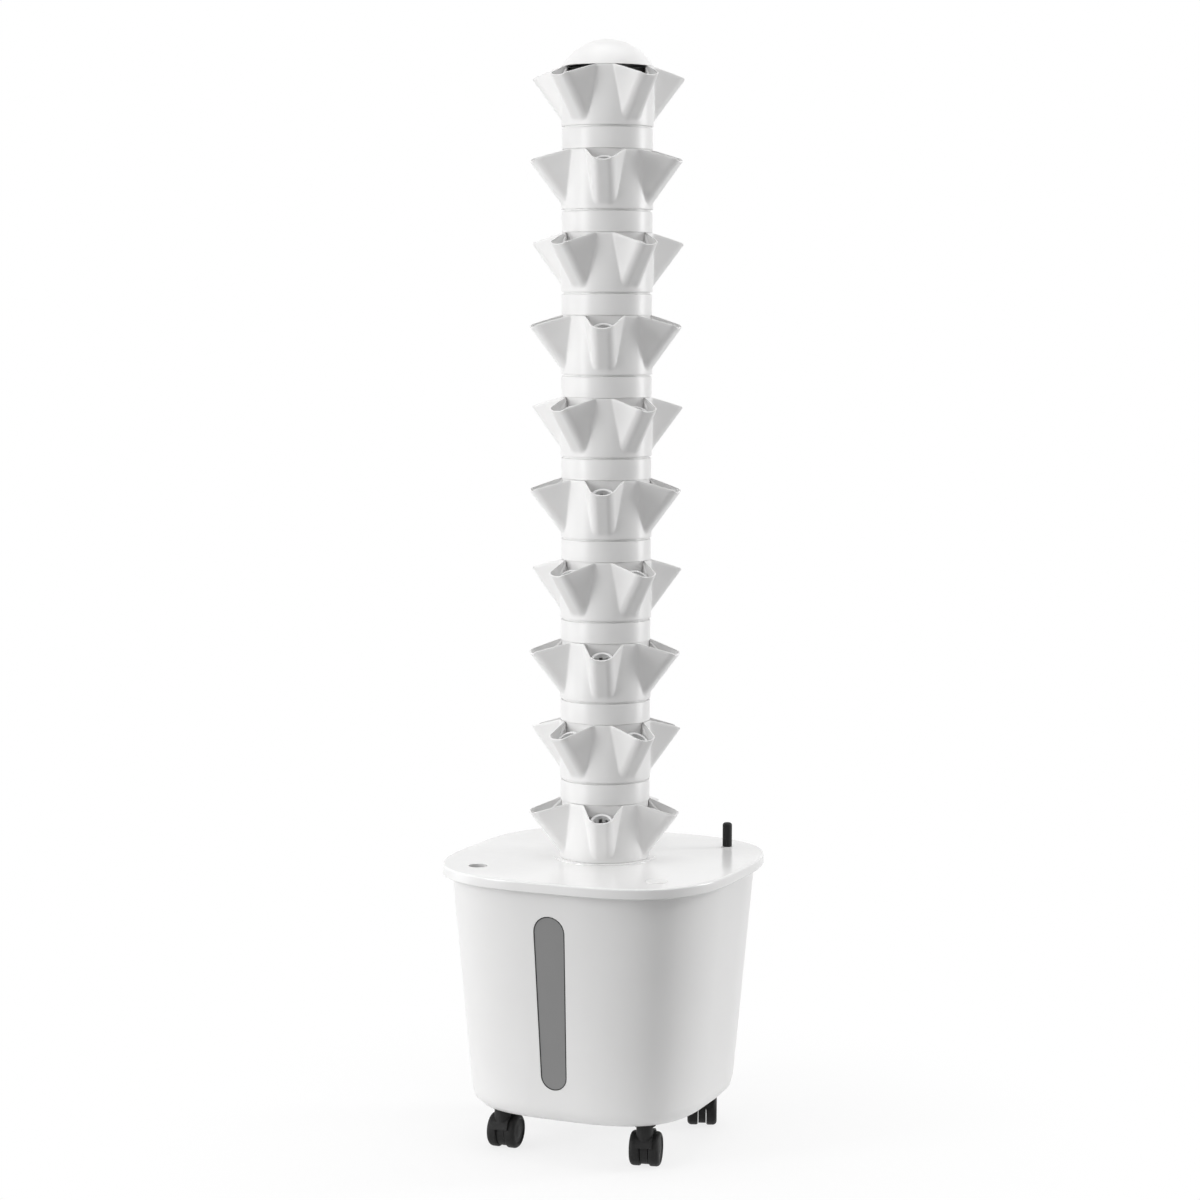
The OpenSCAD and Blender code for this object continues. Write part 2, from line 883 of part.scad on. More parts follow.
module pump_body() {
    corner = 5;
    chamber_back = -6;
    gland_r = 5;
    gland_h = 8;
    color("#232426")
        difference() {
            union() {
                translate([pump_front - pump_l, -pump_w / 2, pump_z])
                    linear_extrude(pump_h)
                        polygon([
                            [corner, 0],
                            [pump_l, 0],
                            [pump_l, pump_w],
                            [corner, pump_w],
                            [0, pump_w - corner],
                            [0, corner],
                        ]);
                translate([0, 0, pump_top - past])
                    cylinder(r = outlet_r, h = outlet_h + past);
                on_shaft()
                    translate([0, 0, pump_front - pump_l - gland_h])
                        cylinder(r = gland_r, h = gland_h + past);
            }
            on_shaft() {
                translate([0, 0, chamber_back])
                    cylinder(r = chamber_r, h = pump_front - chamber_back + past);
                translate([0, 0, rotor_back - past])
                    cylinder(r = rotor_d / 2 + past, h = rotor_l + 2 * past);
            }
            translate([0, 0, shaft_z])
                cylinder(r = outlet_r - riser_t, h = pump_h / 2 + outlet_h + past);
        }
}

module pump_cover() {
    cover_t = 5;
    spigot_h = 4;
    slot_w = 3;
    slot_h = 24;
    slot_step = 6;
    color("#2c2d30")
        difference() {
            union() {
                translate([pump_front, -pump_w / 2, pump_z])
                    cube([cover_t, pump_w, pump_h]);
                on_shaft()
                    translate([0, 0, pump_front - spigot_h])
                        cylinder(r = chamber_r - run_fit, h = spigot_h + past);
            }
            for (i = [-2:2])
                translate([pump_front - 2 * spigot_h, slot_step * i - slot_w / 2, shaft_z - slot_h / 2])
                    cube([spigot_h * 2 + cover_t + past, slot_w, slot_h]);
        }
}

module pump_rotor() {
    vane_t = 2;
    vane_h = 9;
    disc_t = 2;
    disc_at = rotor_back + rotor_l - 0.5;
    hub_r = 4;
    rim = 0.2;
    color("#55585c")
        on_shaft() {
            translate([0, 0, rotor_back])
                cylinder(d = rotor_d, h = rotor_l);
            translate([0, 0, disc_at])
                cylinder(d = impeller_d, h = disc_t);
            for (i = [0:5])
                rotate([0, 0, 60 * i])
                    translate([0, -vane_t / 2, disc_at + disc_t / 2])
                        cube([impeller_d / 2 - rim, vane_t, vane_h]);
            translate([0, 0, disc_at + disc_t / 4])
                cylinder(r = hub_r, h = vane_h + past);
        }
}

module pump_feet() {
    foot_at = 9;
    neck_r = 3;
    cup_r = 8;
    neck_z = 4;
    lip = 1.5;
    color("#3a3b3d")
        for (x = [pump_front - pump_l + foot_at, pump_front - foot_at])
            for (y = [-pump_w / 2 + foot_at, pump_w / 2 - foot_at])
                translate([x, y, floor_z])
                    rotate_extrude()
                        polygon([
                            [0, pump_foot_h],
                            [neck_r + past, pump_foot_h],
                            [neck_r, pump_foot_h - neck_z],
                            [cup_r, 0],
                            [cup_r - lip, 0],
                            [neck_r - past, neck_z - past],
                            [0, neck_z - past],
                        ]);
}

// Places children at a castor: Z up the swivel, X back along its trail
module on_castor(i) {
    translate([CORNER_AT[i][0] * castor_r, CORNER_AT[i][1] * castor_r, 0])
        rotate([0, 0, HEADING[i]])
            children();
}

// Places children on an axle inside on_castor: Z along the axle, from its middle
module across() {
    translate([castor_trail, 0, wheel_r])
        rotate([90, 0, 0])
            children();
}

// A disc across a castor, centred on its axle's middle
module cheek(r, width) {
    across()
        translate([0, 0, -width / 2])
            cylinder(r = r, h = width);
}

// The space of a castor above a height
module above_axle(z) {
    wide = 5 * wheel_r;
    translate([castor_trail - wide / 2, -wide / 2, z])
        cube(wide);
}

module castor_stem(i) {
    color("#3c3d40")
        on_castor(i) {
            translate([0, 0, castor_h - plate_t])
                cylinder(d = plate_d, h = plate_t);
            translate([0, 0, castor_h - past])
                cylinder(r = stem_r, h = stem_h + past);
            translate([0, 0, pin_low])
                cylinder(r = pin_r, h = castor_h - past - pin_low);
        }
}

module castor_housing(i) {
    neck_r = 12;
    hood_rise = 7;
    web_short = 4;
    web_rise = 9;
    color("#202123")
        on_castor(i)
            difference() {
                union() {
                    difference() {
                        intersection() {
                            union() {
                                cheek(hood_in + hood_t, hood_w);
                                translate([0, 0, wheel_r])
                                    cylinder(r = neck_r, h = neck_top - wheel_r);
                            }
                            above_axle(wheel_r + hood_rise);
                        }
                        cheek(hood_in, hood_w + 2 * past);
                    }
                    cheek(hood_in - web_short, web_w);
                    intersection() {
                        cheek(hood_in + past, web_w);
                        above_axle(wheel_r + web_rise);
                    }
                }
                translate([0, 0, pin_low - run_fit])
                    cylinder(r = pin_r + run_fit, h = castor_h - pin_low);
                cheek(axle_r, 2 * hood_w);
            }
}

module castor_axle(i) {
    axle_short = 5;
    length = web_w + 2 * web_gap + 2 * (wheel_w - axle_short);
    color("#b8babd")
        on_castor(i)
            cheek(axle_r, length);
}

module castor_wheel(i, side) {
    bore_r = axle_r + run_fit;
    bore_h = wheel_w - 4.5;
    hub_r = axle_r + 5;
    dish_r = wheel_r - 6;
    round_r = 3;
    hub_back = 3;
    rim_back = 0.5;
    dish = 2;
    color("#18181a")
        on_castor(i)
            across()
                rotate([side > 0 ? 0 : 180, 0, 0])
                    translate([0, 0, web_w / 2 + web_gap])
                        rotate_extrude()
                            polygon(concat(
                                [
                                    [bore_r, 0],
                                    [hub_r, 0],
                                    [hub_r, hub_back],
                                    [dish_r, hub_back],
                                    [dish_r, rim_back],
                                    [wheel_r - past, rim_back],
                                    [wheel_r, rim_back + past],
                                ],
                                [for (a = [0:15:90]) [
                                    wheel_r - round_r + round_r * cos(a),
                                    wheel_w - round_r + round_r * sin(a)
                                ]],
                                [
                                    [dish_r, wheel_w],
                                    [dish_r - dish, wheel_w - dish],
                                    [hub_r + dish, wheel_w - dish],
                                    [hub_r, wheel_w - dish / 2],
                                    [0, wheel_w - dish / 2],
                                    [0, bore_h],
                                    [bore_r, bore_h],
                                ]
                            ));
}

tank();
level_window();
window_gasket();
lid();
port_plug();
gauge_bush();
gauge_rod();
gauge_cap();
gauge_float();
pump_body();
pump_cover();
pump_rotor();
pump_feet();
outlet_adapter();
riser_lower();
riser_coupling();
riser_upper();
distributor();
dome_cap();
for (k = [1:tiers]) {
    tier(k);
    net_cups(k);
}
for (i = [0:3]) {
    castor_stem(i);
    castor_housing(i);
    castor_axle(i);
    castor_wheel(i, 1);
    castor_wheel(i, -1);
}
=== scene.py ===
# %% [markdown]
# # A hydroponic planter tower
# The real tower is a stack of ten planter tiers on a wheeled water tank. A pump in the tank sends water
# up a pipe, and it trickles down from tier to tier, past the roots in the net cups.
# The whole tower could be modelled again by eye, but then nothing would fit its solids.
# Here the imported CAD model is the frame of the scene: it has every piece in its place, in metres,
# and Blender adds what the CAD leaves out, which is soft edges, moulded curves, surfaces, light and a camera.

# %% Load the frame
import json
import math

import bpy
from mathutils import Matrix, Vector


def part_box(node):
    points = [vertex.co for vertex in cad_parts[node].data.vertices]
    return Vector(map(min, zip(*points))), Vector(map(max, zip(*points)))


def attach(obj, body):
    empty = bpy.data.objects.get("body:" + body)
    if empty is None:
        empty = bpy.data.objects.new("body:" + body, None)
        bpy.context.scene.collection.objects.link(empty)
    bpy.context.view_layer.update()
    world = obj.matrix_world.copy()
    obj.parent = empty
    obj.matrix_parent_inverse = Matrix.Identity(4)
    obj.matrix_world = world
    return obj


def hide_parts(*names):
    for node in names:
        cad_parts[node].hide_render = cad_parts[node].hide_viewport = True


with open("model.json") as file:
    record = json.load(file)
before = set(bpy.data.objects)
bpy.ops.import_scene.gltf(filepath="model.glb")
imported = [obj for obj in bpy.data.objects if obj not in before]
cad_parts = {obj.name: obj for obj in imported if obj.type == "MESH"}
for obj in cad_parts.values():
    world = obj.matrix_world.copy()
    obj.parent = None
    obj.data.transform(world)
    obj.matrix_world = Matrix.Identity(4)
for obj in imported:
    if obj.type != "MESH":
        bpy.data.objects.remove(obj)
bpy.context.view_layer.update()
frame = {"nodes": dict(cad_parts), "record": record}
scene = bpy.context.scene
MM = 0.001

# %% [markdown]
# ## Camera
# A tall object is photographed from far away with a long lens, so that its sides stay almost parallel.
# The camera could be turned by hand until the picture looks right. Here the lens and the viewpoint come from
# the tower's own proportions in the photograph, because then all ten tiers fall where they should.
# The tower stands on the Z axis, so the view needs only a place, a turn, a dip and a small roll.
# The lens has no shift, so the same camera also frames the whole tower when it goes round it.

# %% Camera
FOCAL_PX, FRAME_PX, SENSOR_MM = 2844.0, 1200, 36
TURN, DIP, ROLL = math.radians(23.495), math.radians(6.038), math.radians(0.203)
VIEWPOINT = (1.6272, -3.7641, 1.2329)

camera_data = bpy.data.cameras.new("camera")
camera_data.sensor_width = SENSOR_MM
camera_data.lens = SENSOR_MM * FOCAL_PX / FRAME_PX
camera = bpy.data.objects.new("camera", camera_data)
scene.collection.objects.link(camera)
camera.matrix_world = (
    Matrix.Translation(VIEWPOINT)
    @ Matrix.Rotation(TURN, 4, "Z")
    @ Matrix.Rotation(math.pi / 2 - DIP, 4, "X")
    @ Matrix.Rotation(ROLL, 4, "Z")
)
scene.camera = camera
print("lens", round(camera_data.lens, 1), "mm")

# %% [markdown]
# ## A short way to write shader nodes
# Every finish on the tower, from the satin white to the drawn steel, is a small tree of nodes.
# A tree can be wired by hand in the shader editor, but in a script the wiring soon hides what it is for.
# Here a `Wire` stands for the output of a node. Wires are added, subtracted and multiplied like numbers,
# and each sum puts one Math node into the tree.

# %% Wires
class Wire:
    def __init__(self, graph, socket):
        self.graph, self.socket = graph, socket

    def __add__(self, other):
        return self.graph.maths("ADD", self, other)

    def __radd__(self, other):
        return self.graph.maths("ADD", other, self)

    def __sub__(self, other):
        return self.graph.maths("SUBTRACT", self, other)

    def __rsub__(self, other):
        return self.graph.maths("SUBTRACT", other, self)

    def __mul__(self, other):
        return self.graph.maths("MULTIPLY", self, other)

    def __rmul__(self, other):
        return self.graph.maths("MULTIPLY", other, self)


print("wires add, subtract and multiply")

# %% [markdown]
# A `Graph` is the tree that the wires belong to, of a material or of the world. All its nodes come from
# one method, which takes a node's type, its settings and what goes into its sockets.
# One method is enough, because a socket takes either a plain value or a wire, and `feed` knows which.

# %% Graphs
class Graph:
    def __init__(self, owner, shader):
        owner.use_nodes = True
        self.tree = owner.node_tree
        self.shader = self.tree.nodes[shader]

    def feed(self, socket, value):
        if isinstance(value, Wire):
            self.tree.links.new(value.socket, socket)
        else:
            socket.default_value = value

    def node(self, kind, settings, inputs, output=0):
        made = self.tree.nodes.new(kind)
        for key, value in settings.items():
            setattr(made, key, value)
        for key, value in inputs.items():
            self.feed(made.inputs[key], value)
        return Wire(self, made.outputs[output])

    def maths(self, operation, first, second):
        return self.node("ShaderNodeMath", {"operation": operation}, {0: first, 1: second})


print("graphs make nodes")

# %% [markdown]
# `Paint` is the graph of one material. Its methods are named for what a finish needs: a place on the piece,
# a noise, a blend of two colours, and the colour, roughness and bump that these feed.
# Unwrapped images could carry the patterns. Noise in the object's own coordinates needs no seams,
# and stays sharp however close the camera comes.

# %% Paint
class Paint(Graph):
    def __init__(self, name, **constants):
        self.material = bpy.data.materials.new(name)
        super().__init__(self.material, "Principled BSDF")
        for socket, value in constants.items():
            self.shader.inputs[socket.replace("_", " ")].default_value = value

    def place(self):
        return self.node("ShaderNodeTexCoord", {}, {}, "Object")

    def stretched(self, x, y, z):
        return self.node("ShaderNodeMapping", {}, {"Vector": self.place(), "Scale": (x, y, z)})

    def noise(self, scale, detail=2.0, at=None):
        inputs = {"Vector": at or self.place(), "Scale": scale, "Detail": detail}
        return self.node("ShaderNodeTexNoise", {}, inputs)

    def between(self, factor, dark, light):
        ends = [end if isinstance(end, Wire) else (*end, 1) for end in (dark, light)]
        inputs = {"Factor": factor, 6: ends[0], 7: ends[1]}
        return self.node("ShaderNodeMix", {"data_type": "RGBA"}, inputs, 2)

    def colour(self, factor, dark, light):
        self.feed(self.shader.inputs["Base Color"], self.between(factor, dark, light))

    def rough(self, factor, low, high):
        self.feed(self.shader.inputs["Roughness"], factor * (high - low) + low)

    def bump(self, height, depth):
        inputs = {"Height": height, "Distance": depth * MM}
        self.feed(self.shader.inputs["Normal"], self.node("ShaderNodeBump", {}, inputs))


def grey(value, warm=0.0):
    return (value * (1 + warm), value, value * (1 - warm))


print("a warm white is", grey(0.84, 0.004))

# %% [markdown]
# ## Moulded plastics
# The tank, lid, tiers and cups are white moulded plastic. The castors, the gauge's cap and the pump are black,
# and the pump's rotor is grey. One flat colour each would do from far away, but a real moulding is never
# quite even. So a slow noise shifts the colour by a few percent, a second one varies the gloss,
# and a fine one gives the grain of the mould. The lid is smoother than the rest.
# Scales are patches to the metre, and depths are millimetres.

# %% Moulded plastics
PATCHES, SMEARS, COARSER = 9.0, 60.0, 12


def moulded(name, dark, light, gloss, grain, depth, **constants):
    paint = Paint(name, **constants)
    paint.colour(paint.noise(PATCHES), dark, light)
    paint.rough(paint.noise(SMEARS), *gloss)
    paint.bump(paint.noise(grain, detail=3.0) + 0.5 * paint.noise(grain / COARSER), depth)
    return paint.material


white = moulded(
    "white_plastic", grey(0.80, 0.004), grey(0.84, 0.004), gloss=(0.28, 0.40), grain=1400, depth=0.06)
lid_white = moulded(
    "lid_plastic", grey(0.82, 0.003), grey(0.85, 0.003), gloss=(0.14, 0.22), grain=900, depth=0.04)
cup_white = moulded(
    "cup_plastic", grey(0.80), grey(0.86), gloss=(0.40, 0.55), grain=1800, depth=0.08)
black = moulded(
    "black_plastic", grey(0.012), grey(0.020), gloss=(0.46, 0.62), grain=2200, depth=0.15,
    Specular_IOR_Level=0.2)
grey_plastic = moulded(
    "grey_plastic", grey(0.05), grey(0.07), gloss=(0.38, 0.5), grain=1800, depth=0.1)
print("five plastics")

# %% [markdown]
# ## Smoked window
# The level window is a strip of smoked plastic, so dark that it looks grey from outside.
# It could be real glass with transmission, but then the empty tank would show behind it.
# A plain grey under a thin clear coat keeps it dark from every side and is quick to render.

# %% Smoked plastic
smoked = Paint("smoked_plastic", Coat_Weight=0.35, Coat_Roughness=0.08)
smoked.colour(smoked.noise(14.0), grey(0.212), grey(0.224))
smoked.rough(smoked.noise(90.0), low=0.26, high=0.34)
smoked.bump(smoked.noise(700.0, detail=3.0), depth=0.05)
print("smoked plastic with a clear coat")

# %% [markdown]
# ## Drawn pipe and steel
# The riser is an extruded pipe and the axles are drawn steel, so both have fine lines along their length.
# A picture of brushed metal could be wrapped round them. Here the space of a noise is squeezed across
# the piece and left long beside it, so the lines follow the piece with no seam.

# %% Pipe and steel
pipe = Paint("pipe_plastic")
drawn = pipe.noise(1.0, detail=3.0, at=pipe.stretched(700, 700, 6))
pipe.colour(drawn, grey(0.66), grey(0.73))
pipe.rough(drawn, low=0.25, high=0.42)
pipe.bump(drawn, depth=0.08)

steel = Paint("steel", Metallic=1.0)
lines = steel.noise(1.0, detail=2.0, at=steel.stretched(60, 3000, 3000))
steel.colour(lines, grey(0.44), grey(0.56))
steel.rough(lines, low=0.22, high=0.4)
steel.bump(lines, depth=0.03)
print("drawn lines on the pipe and the steel")

# %% [markdown]
# ## Foam and rubber
# The float is closed-cell foam, and the window's seal and the pump's feet are rubber. Both are matte.
# Noise would do for the foam too, but a Voronoi texture is made of cells already, so it colours them
# and raises them at once. The rubber needs only an uneven dark grey and a very fine grain.

# %% Foam and rubber
foam = Paint("foam", Roughness=0.85)
bubbles = foam.node("ShaderNodeTexVoronoi", {}, {"Vector": foam.place(), "Scale": 420.0})
foam.colour(bubbles, dark=(0.50, 0.46, 0.36), light=(0.66, 0.62, 0.51))
foam.bump(bubbles, depth=0.6)

rubber = Paint("rubber")
rubber.colour(rubber.noise(180.0, detail=4.0), grey(0.011), grey(0.022))
rubber.rough(rubber.noise(40.0), low=0.62, high=0.8)
rubber.bump(rubber.noise(2600.0), depth=0.12)
print("foam and rubber")

# %% [markdown]
# ## Dressing the CAD nodes
# The tank, the pump, the castors' housings and the other plain mouldings come straight from the CAD,
# with exact faces and knife-sharp edges. A real mould always leaves a small round there.
# The edges could be bevelled by hand, but four modifiers do it for every node and leave the mesh as it is.
# Weld joins the faces, a planar dissolve removes the triangles, a bevel rounds the edges,
# and weighted normals keep the flat faces flat.

# %% Dress the CAD nodes
EDGE_ROUND, SAME_POINT = 0.4, 0.01
FLAT, SHARP = math.radians(0.6), math.radians(38)
FINISH = {
    "white": white, "cup": cup_white, "black": black, "grey": grey_plastic,
    "smoked": smoked.material, "pipe": pipe.material, "steel": steel.material,
    "foam": foam.material, "rubber": rubber.material,
}
SLOT = {row["node"]: row["material_slot"] for row in frame["record"]["subparts"]}


def dress(obj, material):
    obj.data.materials.clear()
    obj.data.materials.append(material)
    obj.data.shade_smooth()
    weld = obj.modifiers.new("weld", "WELD")
    weld.merge_threshold = SAME_POINT * MM
    flat = obj.modifiers.new("flat", "DECIMATE")
    flat.decimate_type = "DISSOLVE"
    flat.angle_limit = FLAT
    bevel = obj.modifiers.new("bevel", "BEVEL")
    bevel.width = EDGE_ROUND * MM
    bevel.segments = 2
    bevel.limit_method = "ANGLE"
    bevel.angle_limit = SHARP
    obj.modifiers.new("normals", "WEIGHTED_NORMAL")


for node in frame["nodes"]:
    dress(frame["nodes"][node], FINISH[SLOT[node]])
print(len(SLOT), "nodes in", len(FINISH), "finishes")

# %% [markdown]
# ## Pieces of our own
# The lid, the tiers, the cups, the wheels and the gauge's cap have finer forms than their CAD solids.
# The CAD meshes could be edited, but they are the measure for everything else, so they stay as they are.
# Instead a new mesh stands in for a node and rides on that node's body, and so it moves with every joint.

# %% Pieces of our own
def add_piece(name, mesh, material, body, node, place=None):
    if not mesh.materials:
        mesh.materials.append(material)
    obj = bpy.data.objects.new(name, mesh)
    scene.collection.objects.link(obj)
    if place:
        obj.matrix_world = place
    bpy.context.view_layer.update()
    if node:
        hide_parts(node)
    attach(obj, body)
    return obj


print("a piece can stand in for a node")

# %% [markdown]
# ## Lid
# The lid sits over the tank like a tray turned upside down, and the edge of its top is tightly rounded.
# The CAD lid has a wider round there. A new lid could be built from nothing, but a copy of the CAD mesh
# keeps every port and seat, and only the points on the wide round have to move out to the tight one.

# %% Lid
LID_HALF, LID_TOP, SQUARENESS = 215.5, 422.0, 3.1
WIDE_ROUND, TIGHT_ROUND, NEAR = 6.0, 3.0, 0.1

lid_mesh = frame["nodes"]["lid"].data.copy()
moved = 0
for vertex in lid_mesh.vertices:
    x, y, z = vertex.co / MM
    reach = (abs(x) ** SQUARENESS + abs(y) ** SQUARENESS) ** (1 / SQUARENESS)
    out, up = reach - LID_HALF + WIDE_ROUND, z - LID_TOP + WIDE_ROUND
    if min(out, up) > -NEAR and abs(math.hypot(out, up) - WIDE_ROUND) < NEAR:
        grow = (LID_HALF - TIGHT_ROUND + TIGHT_ROUND * out / WIDE_ROUND) / reach
        height = LID_TOP - TIGHT_ROUND + TIGHT_ROUND * up / WIDE_ROUND
        vertex.co = Vector((x * grow, y * grow, height)) * MM
        moved += 1
dress(add_piece("lid_tray", lid_mesh, lid_white, "lid", "lid"), lid_white)
print(moved, "points on the lid's round")

# %% [markdown]
# ## Meshes from columns
# Most of the other pieces are a section carried round: a seal round the window, a wall round a tier.
# A curve with a bevel would do where the section stays the same, but a tier's section changes all the way.
# `skin` joins a ring of columns into quads, and each column may have its own shape.
# Each is a closed loop of points, so the result is a closed body with no loose edges.

# %% Meshes from columns
def make_mesh(name, points, faces, sharp=40):
    mesh = bpy.data.meshes.new(name)
    mesh.from_pydata([[c * MM for c in p] for p in points], [], faces)
    mesh.validate()
    mesh.shade_smooth()
    mesh.set_sharp_from_angle(angle=math.radians(sharp))
    return mesh


def skin(columns, skip=()):
    rows = len(columns[0])
    points = [p for column in columns for p in column]
    faces = []
    for i in range(len(columns)):
        j = (i + 1) % len(columns)
        for a in range(rows):
            b = (a + 1) % rows
            if (i, a) not in skip:
                faces.append((i * rows + a, j * rows + a, j * rows + b, i * rows + b))
    return points, faces


print("columns can be skinned, in millimetres")

# %% [markdown]
# ## Level window
# A thin dark bead runs round the smoked window. It is partly its seal at the front and partly painted shade of
# the window's recess.
# A dark line in the tank's material could fake it, but a line has no edge to catch the light.
# So a small section follows the outline: two half circles of different size, on the tank's sloping face.

# %% Window bead
WINDOW_HALF, UPPER_R, LOWER_R, BEND_STEPS = 128.0, 24.0, 20.0, 24
WINDOW_MIDDLE, TANK_SLOPE = (0, -188.41, 244), math.radians(4.766)
BEAD = [(-0.2, 1.0), (-0.2, 0.0), (-0.5, -0.3), (-1.1, -0.3), (-1.5, 0.0), (-1.5, 1.0)]

tank_face = Matrix.Translation(WINDOW_MIDDLE) @ Matrix.Rotation(TANK_SLOPE, 4, "X")
columns = []
for radius, middle, start in (
    (UPPER_R, WINDOW_HALF - UPPER_R, 0), (LOWER_R, LOWER_R - WINDOW_HALF, 180),
):
    for i in range(BEND_STEPS + 1):
        t = math.radians(start + 180 * i / BEND_STEPS)
        section = [
            Vector(((radius + wide) * math.cos(t), deep, middle + (radius + wide) * math.sin(t)))
            for wide, deep in BEAD
        ]
        columns.append([tuple(tank_face @ point) for point in section])
# The bead's dark rubber is partly the seal and partly painted shade in the recess round the window.
bead_mesh = make_mesh("window_bead_and_shade", *skin(columns))
add_piece("window_bead_and_shade", bead_mesh, rubber.material, "tank", None)
print(len(columns), "sections in the window's bead")

# %% [markdown]
# ## Turned shapes
# The gauge's cap and the castors' wheels are round about an axis, like work from a lathe.
# A screw modifier could turn a curve into them. Here a profile of radii and heights becomes a mesh at once,
# because its two ends are then closed without another step. `arc` gives the points of one round.

# %% Turned shapes
def turned(name, profile, sides=48):
    n = len(profile)
    turns = [2 * math.pi * i / sides for i in range(sides)]
    points = [(r * math.cos(t), r * math.sin(t), z) for r, z in profile for t in turns]
    faces = [tuple(range(sides))[::-1], tuple((n - 1) * sides + i for i in range(sides))]
    for row in range(n - 1):
        low, high = row * sides, (row + 1) * sides
        for i in range(sides):
            j = (i + 1) % sides
            faces.append((low + i, low + j, high + j, high + i))
    return make_mesh(name, points, faces, sharp=32)


def arc(r, z, radius, start, end, steps=6):
    turns = [math.radians(start + (end - start) * i / steps) for i in range(steps + 1)]
    return [(r + radius * math.cos(t), z + radius * math.sin(t)) for t in turns]


print("profiles can be turned")

# %% [markdown]
# ## Gauge cap
# The cap on the water gauge is a plain black sleeve with a soft top, pushed onto the rod.
# It could be one of Blender's cylinders with a bevel, but that has the same round at both ends.
# A turned profile has a small round below and a large one above. Its width and height come from
# the box of the CAD node that it stands in for.

# %% Gauge cap
ROD_R, CROWN_R, LIFT, FOOT_ROUND, TOP_ROUND = 2, 0.5, 0.2, 1, 4

low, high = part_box("gauge_cap")
middle = (Vector(low) + Vector(high)) / 2
cap_r, cap_h = (high[0] - low[0]) / 2 / MM, (high[2] - low[2]) / MM
foot = arc(cap_r - FOOT_ROUND, FOOT_ROUND + LIFT, FOOT_ROUND, -90, 0)
top = arc(cap_r - TOP_ROUND, cap_h - TOP_ROUND, TOP_ROUND, 0, 90)
cap_mesh = turned("gauge_sleeve", [(ROD_R, LIFT)] + foot + top + [(CROWN_R, cap_h)])
place = Matrix.Translation((middle.x, middle.y, low[2]))
add_piece("gauge_sleeve", cap_mesh, black, "gauge", "gauge_cap", place)
print("gauge cap", round(2 * cap_r, 1), "by", round(cap_h, 1), "mm")

# %% [markdown]
# ## Castor wheels
# Each castor has two wheels with a crowned tread, a hub that runs on the axle and a dished outer face.
# Eight meshes would work, but the wheels are all alike, so one turned mesh is shared by eight objects.
# Each is placed on its own spin joint, with its outer face away from the castor's web.

# %% Castor wheels
HALF_WEB = 6.0
BORE_R, HUB_R, DISH_R, TREAD_R = 3.1, 8, 19, 25
INNER_ROUND, OUTER_ROUND = 2.5, 6
inner_face = [(BORE_R, 11.5), (BORE_R, 0.2), (HUB_R, 0.2), (HUB_R, 3), (DISH_R, 3), (DISH_R, 0.5)]
tread = arc(TREAD_R - INNER_ROUND, 3, INNER_ROUND, -90, 0) + arc(TREAD_R - OUTER_ROUND, 10, OUTER_ROUND, 0, 90)
outer_face = [(17, 14), (10, 14), (8, 15), (0.5, 15)]
wheel_mesh = turned("castor_wheel", inner_face + tread + outer_face)

JOINTS = {joint["name"]: joint for joint in frame["record"]["behaviour"]["joints"]}
for corner in ("fl", "fr", "br", "bl"):
    for side in "ab":
        node = f"castor_{corner}_wheel_{side}"
        middle = (Vector(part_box(node)[0]) + Vector(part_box(node)[1])) / 2
        spin = JOINTS[f"wheel_{corner}_{side}_spin"]
        hub, axis = Vector(spin["pos_m"]), Vector(spin["axis"])
        if (middle - hub).dot(axis) < 0:
            axis = -axis
        facing = axis.to_track_quat("Z", "Y").to_matrix().to_4x4()
        place = Matrix.Translation(hub + axis * HALF_WEB * MM) @ facing
        name, body = f"castor_wheel_{corner}_{side}", f"wheel_{corner}_{side}"
        add_piece(name, wheel_mesh, black, body, node, place)
print("wheel mesh has", len(wheel_mesh.polygons), "faces")

# %% [markdown]
# ## Planter tiers
# A tier is one moulding: a ring with five pockets that lean outwards, and a skirt that drops into the tier
# below. It could be cut from solids with booleans, but those leave hard seams where pocket and ring meet.
# So its wall is worked out instead. At each angle round the tower, the outside is either the ring
# or a pocket's nose, whichever stands out further. All sizes are millimetres from the tier's ledge.

# %% Tier sizes
TIERS, POCKETS, SEAT_Z, PITCH = 10, 5, 424.0, 117.0
RING_R, RING_IN, RING_H = 65.8, 63.4, 84.0
TIP_R, LIP_DROP, RISE = 113.5, 15.0, 7.0
NOSE_R, NOSE_HALF, SPREAD = 13.0, 5.0, math.radians(15)
LIP_T, POCKET_T, TRAY_T, SEAT_DEPTH = 1.6, 3.0, 3.0, 6
SCOOP, SCOOP_W = 3.5, 14.0
BARREL_R, SPIGOT_R, SPIGOT_IN = 64.8, 63.0, 60.6
BARREL_H, SKIRT_H = 32.6, 51.0
LEAN = math.atan((TIP_R - RING_R) / (RING_H - LIP_DROP - RISE))
SIN, COS = math.sin(LEAN), math.cos(LEAN)
CUP_SEAT = RING_R * SIN + (RING_H - RISE) * COS - SEAT_DEPTH
print("pockets lean", round(math.degrees(LEAN), 1), "degrees")

# %% [markdown]
# A pocket's nose has a flat front, two round corners and two flanks that spread apart.
# Seen along the lean it is the same outline at every height, so one formula serves them all:
# `nose` follows a ray from the tower's axis to the front, the flank or the corner, whichever it meets.
# A mesh of the outline could be swept and cut, but the formula gives points just where the columns need them.

# %% Pocket nose
CORNER_U = RING_R * COS - NOSE_R
END_COS, END_SIN = math.sin(SPREAD), math.cos(SPREAD)


